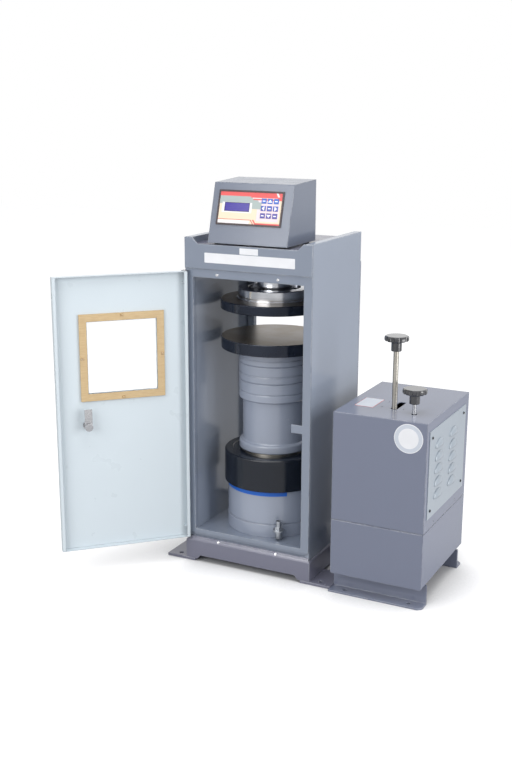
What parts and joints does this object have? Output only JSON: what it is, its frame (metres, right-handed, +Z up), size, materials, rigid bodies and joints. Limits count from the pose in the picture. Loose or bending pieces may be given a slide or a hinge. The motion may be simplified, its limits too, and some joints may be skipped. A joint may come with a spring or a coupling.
{
  "type": "rock compression tester",
  "caption": "Floor-standing compression tester: frame with hinged windowed door, hydraulic ram, spherically seated platen, sloping keypad indicator and a louvred power pack.",
  "frame": {"origin": "on the floor under the load axis, centre of the four floor bolts", "axes": "+Z up along the load axis, +Y to the back of the machine, so the door side faces -Y; +X to the power pack"},
  "size_m": [1.024, 0.6999, 1.149],
  "materials": {
    "frame_paint": "stoved blue-grey paint, satin",
    "base_paint": "darker blue-grey paint, satin",
    "cylinder_paint": "blue-grey enamel on turned steel",
    "black_steel": "blackened, working faces ground",
    "ground_steel": "turned and ground",
    "bright_steel": "bright plated",
    "case_paint": "powder coated grey",
    "black_plastic": "moulded, satin",
    "membrane": "printed film, satin",
    "display": "tinted display window",
    "rubber": "moulded rubber",
    "pack_paint": "stoved blue-grey paint, satin",
    "machined_aluminium": "milled",
    "motor_paint": "machine enamel",
    "pump_iron": "as cast",
    "door_paint": "pale grey enamel",
    "window_board": "tan laminate board",
    "clear_pane": "clear sheet",
    "bronze": "bearing bronze, bored",
    "key_blue": "moulded caps"
  },
  "bodies": {
    "load_frame": {"left_side_plate": "frame_paint", "right_side_plate": "frame_paint", "base_bolster": "frame_paint", "crosshead": "frame_paint", "base_skirt": "base_paint", "foot_pads": "base_paint", "front_fascia": "frame_paint", "door_frame": "frame_paint", "rear_frame": "frame_paint", "casing_screws": "bright_steel", "hinge_fixed_leaves": "bright_steel", "spindle": "ground_steel", "cylinder_body": "cylinder_paint", "gland_ring": "black_steel", "hose_ports": "bright_steel", "indicator_case": "case_paint", "indicator_bezel": "black_plastic", "membrane_panel": "membrane", "lcd_window": "display", "indicator_feet": "rubber", "pack_tank": "pack_paint", "tank_lid": "pack_paint", "pack_cover": "pack_paint", "louvre_panel": "pack_paint", "pack_feet": "pack_paint", "valve_block": "machined_aluminium", "pump_motor": "motor_paint", "hydraulic_pump": "pump_iron", "cable_gland": "black_plastic"},
    "door": {"door_panel": "door_paint", "door_hinge_leaves": "door_paint", "window_frame": "window_board", "window_pane": "clear_pane", "window_screws": "bright_steel", "lock_body": "bright_steel"},
    "lock_cam": {"lock_cam": "bright_steel"},
    "ram": {"ram": "ground_steel", "piston_seal": "rubber", "pedestal": "cylinder_paint", "bottom_collar": "cylinder_paint", "middle_collar": "cylinder_paint", "top_collar": "cylinder_paint", "lower_platen": "black_steel"},
    "seat_liner": {"seat_liner": "bronze"},
    "upper_platen": {"upper_platen": "black_steel", "seat_ring": "ground_steel"},
    "control_lever": {"control_lever": "bright_steel", "lever_knob": "black_plastic"},
    "release_valve": {"release_stem": "bright_steel", "release_knob": "black_plastic"},
    "shaft_coupling": {"shaft_coupling": "bright_steel"},
    "key_1": {"key_1": "key_blue"},
    "key_2": {"key_2": "key_blue"},
    "key_3": {"key_3": "key_blue"},
    "key_4": {"key_4": "key_blue"},
    "key_5": {"key_5": "key_blue"},
    "key_6": {"key_6": "key_blue"},
    "key_7": {"key_7": "key_blue"},
    "key_8": {"key_8": "key_blue"},
    "key_9": {"key_9": "key_blue"}
  },
  "joints": [
    {"name": "door_hinge", "type": "hinge", "parent": "load_frame", "child": "door", "pos_m": [-0.195, -0.19, 0.4875], "axis": [0, 0, 1], "range_deg": [-36, 134]},
    {"name": "lock_cam_turn", "type": "hinge", "parent": "door", "child": "lock_cam", "pos_m": [-0.38841, -0.41332, 0.4585], "axis": [0.7193, -0.6947, 0], "range_deg": [0, 90]},
    {"name": "ram_slide", "type": "slide", "parent": "load_frame", "child": "ram", "axis": [0, 0, 1], "range_m": [0, 0.05]},
    {"name": "seat_tilt_side", "type": "hinge", "parent": "load_frame", "child": "seat_liner", "pos_m": [0, 0, 0.774], "axis": [1, 0, 0], "range_deg": [-2.5, 2.5]},
    {"name": "seat_tilt_front", "type": "hinge", "parent": "seat_liner", "child": "upper_platen", "pos_m": [0, 0, 0.774], "axis": [0, 1, 0], "range_deg": [-2.5, 2.5]},
    {"name": "lever_swing", "type": "hinge", "parent": "load_frame", "child": "control_lever", "pos_m": [0.416, -0.091, 0.339], "axis": [1, 0, 0], "range_deg": [-18, 0]},
    {"name": "release_turn", "type": "hinge", "parent": "load_frame", "child": "release_valve", "pos_m": [0.484, -0.121, 0.3], "axis": [0, 0, 1], "range_deg": [0, 360]},
    {"name": "coupling_spin", "type": "hinge", "parent": "load_frame", "child": "shaft_coupling", "pos_m": [0.44, 0.054, 0.24], "axis": [0, 0, 1], "continuous": true},
    {"name": "key_1_press", "type": "slide", "parent": "load_frame", "child": "key_1", "axis": [0, 0.9639, -0.2663], "range_m": [0, 0.0005], "stiffness_N_per_m": 2000},
    {"name": "key_2_press", "type": "slide", "parent": "load_frame", "child": "key_2", "axis": [0, 0.9639, -0.2663], "range_m": [0, 0.0005], "stiffness_N_per_m": 2000},
    {"name": "key_3_press", "type": "slide", "parent": "load_frame", "child": "key_3", "axis": [0, 0.9639, -0.2663], "range_m": [0, 0.0005], "stiffness_N_per_m": 2000},
    {"name": "key_4_press", "type": "slide", "parent": "load_frame", "child": "key_4", "axis": [0, 0.9639, -0.2663], "range_m": [0, 0.0005], "stiffness_N_per_m": 2000},
    {"name": "key_5_press", "type": "slide", "parent": "load_frame", "child": "key_5", "axis": [0, 0.9639, -0.2663], "range_m": [0, 0.0005], "stiffness_N_per_m": 2000},
    {"name": "key_6_press", "type": "slide", "parent": "load_frame", "child": "key_6", "axis": [0, 0.9639, -0.2663], "range_m": [0, 0.0005], "stiffness_N_per_m": 2000},
    {"name": "key_7_press", "type": "slide", "parent": "load_frame", "child": "key_7", "axis": [0, 0.9639, -0.2663], "range_m": [0, 0.0005], "stiffness_N_per_m": 2000},
    {"name": "key_8_press", "type": "slide", "parent": "load_frame", "child": "key_8", "axis": [0, 0.9639, -0.2663], "range_m": [0, 0.0005], "stiffness_N_per_m": 2000},
    {"name": "key_9_press", "type": "slide", "parent": "load_frame", "child": "key_9", "axis": [0, 0.9639, -0.2663], "range_m": [0, 0.0005], "stiffness_N_per_m": 2000}
  ]
}
